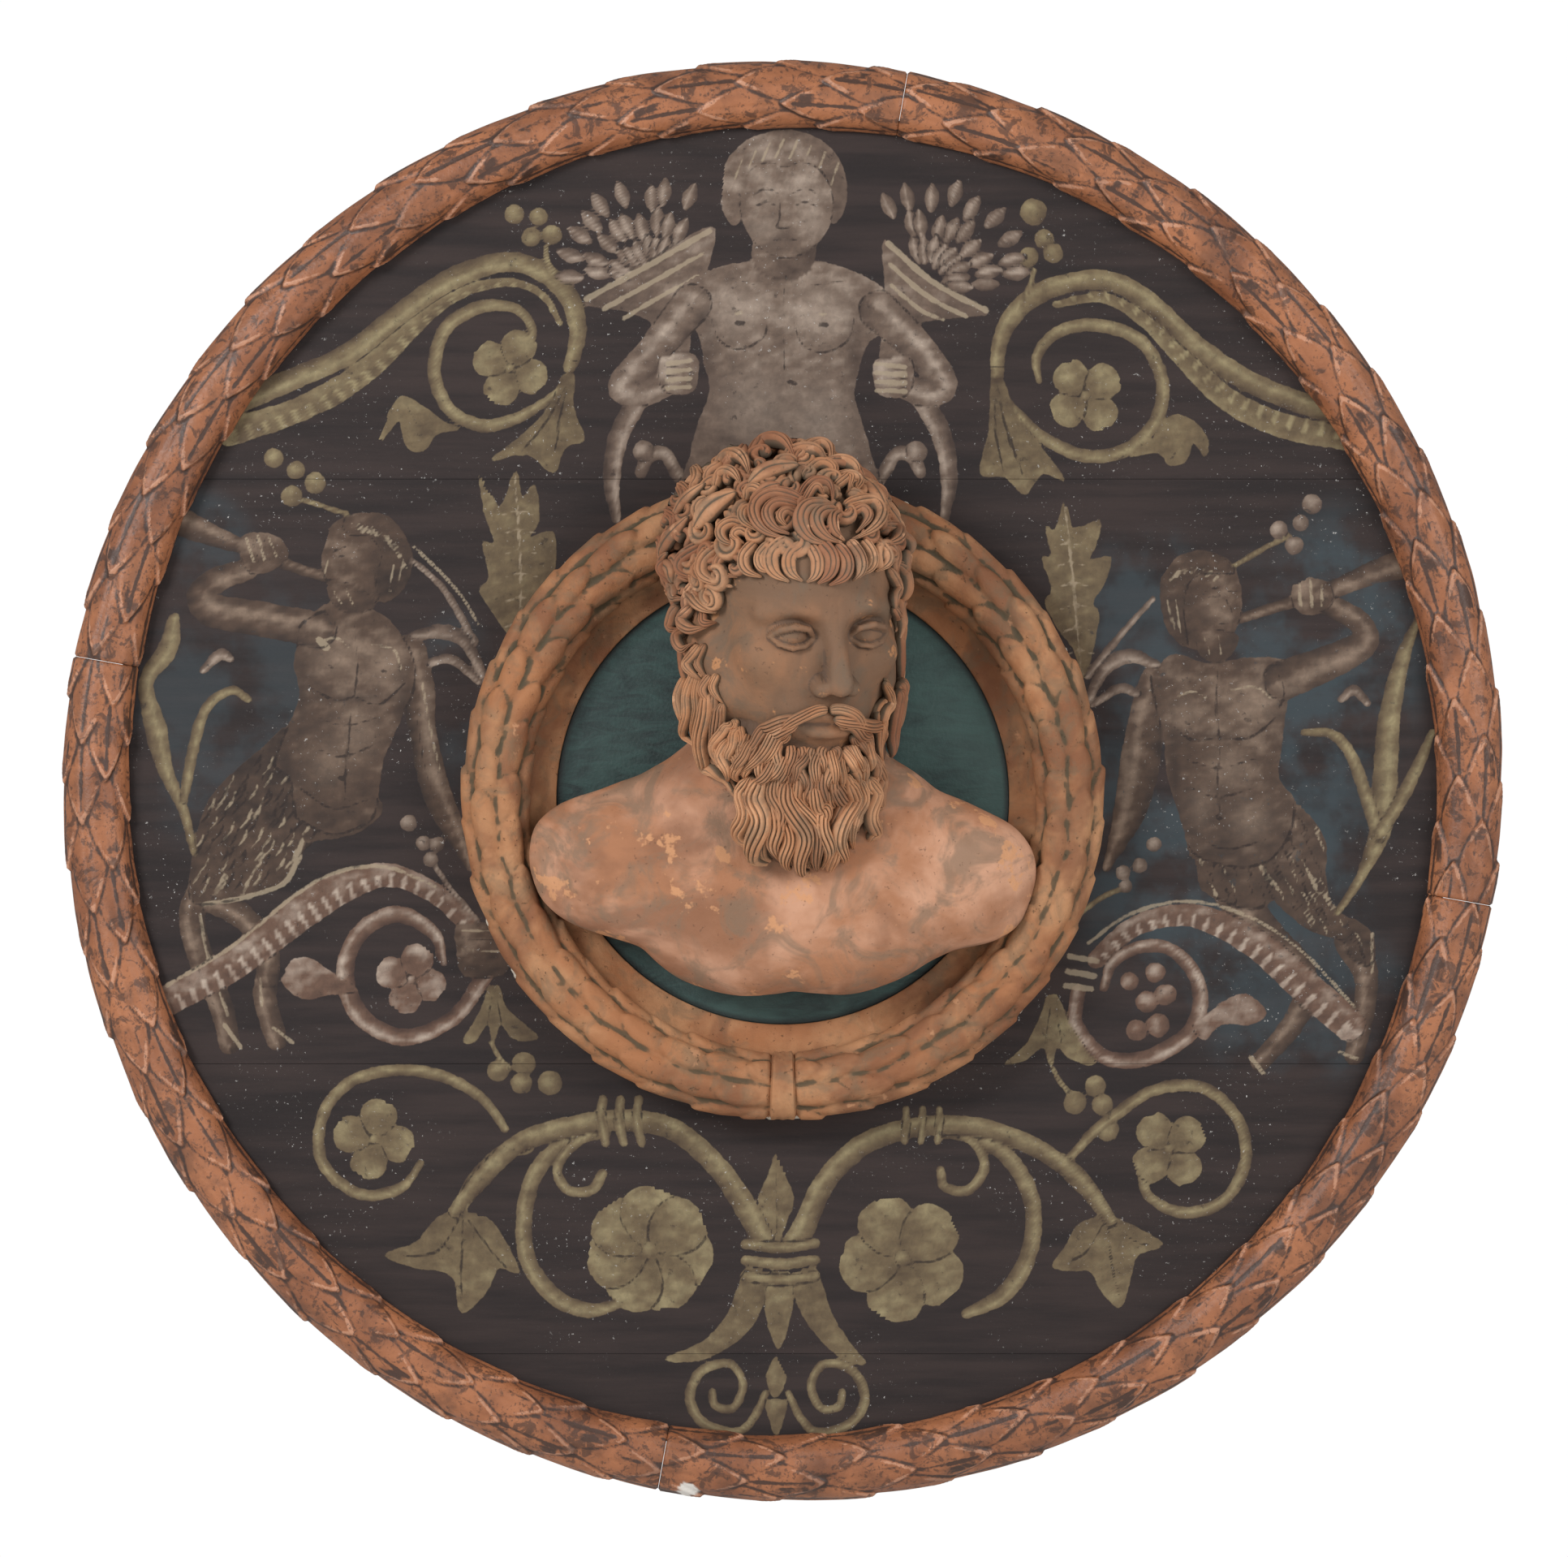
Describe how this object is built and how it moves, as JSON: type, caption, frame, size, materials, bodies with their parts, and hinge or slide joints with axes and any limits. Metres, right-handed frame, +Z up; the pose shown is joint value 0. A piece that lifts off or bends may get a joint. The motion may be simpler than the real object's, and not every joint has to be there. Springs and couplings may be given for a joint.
{
  "type": "relief roundel",
  "caption": "Round wall plaque: a fired clay bust with a leaf crown stands out of a wreathed dish on a painted wooden disc with a moulded leaf rim.",
  "frame": {"origin": "centre of the disc's flat back, where it lies on the wall", "axes": "+Z up the wall, +X to the viewer's right, +Y into the wall: the face looks along -Y"},
  "size_m": [1.102, 0.2033, 1.102],
  "materials": {
    "painted_board": "matt paint, near black with grotesque ornament in olive, grey and teal",
    "painted_rim": "terracotta-coloured paint with black shading, satin",
    "fired_clay_dish": "bare fired clay with a dark teal painted field",
    "fired_clay_bust": "bare fired clay, worn and toned"
  },
  "bodies": {
    "root": {"board_plank_1": "painted_board", "board_plank_2": "painted_board", "board_plank_3": "painted_board", "board_plank_4": "painted_board", "rim_quarter_top_left": "painted_rim", "rim_quarter_bottom_left": "painted_rim", "rim_quarter_bottom_right": "painted_rim", "rim_quarter_top_right": "painted_rim", "wreath_dish": "fired_clay_dish", "bust": "fired_clay_bust"}
  },
  "joints": []
}
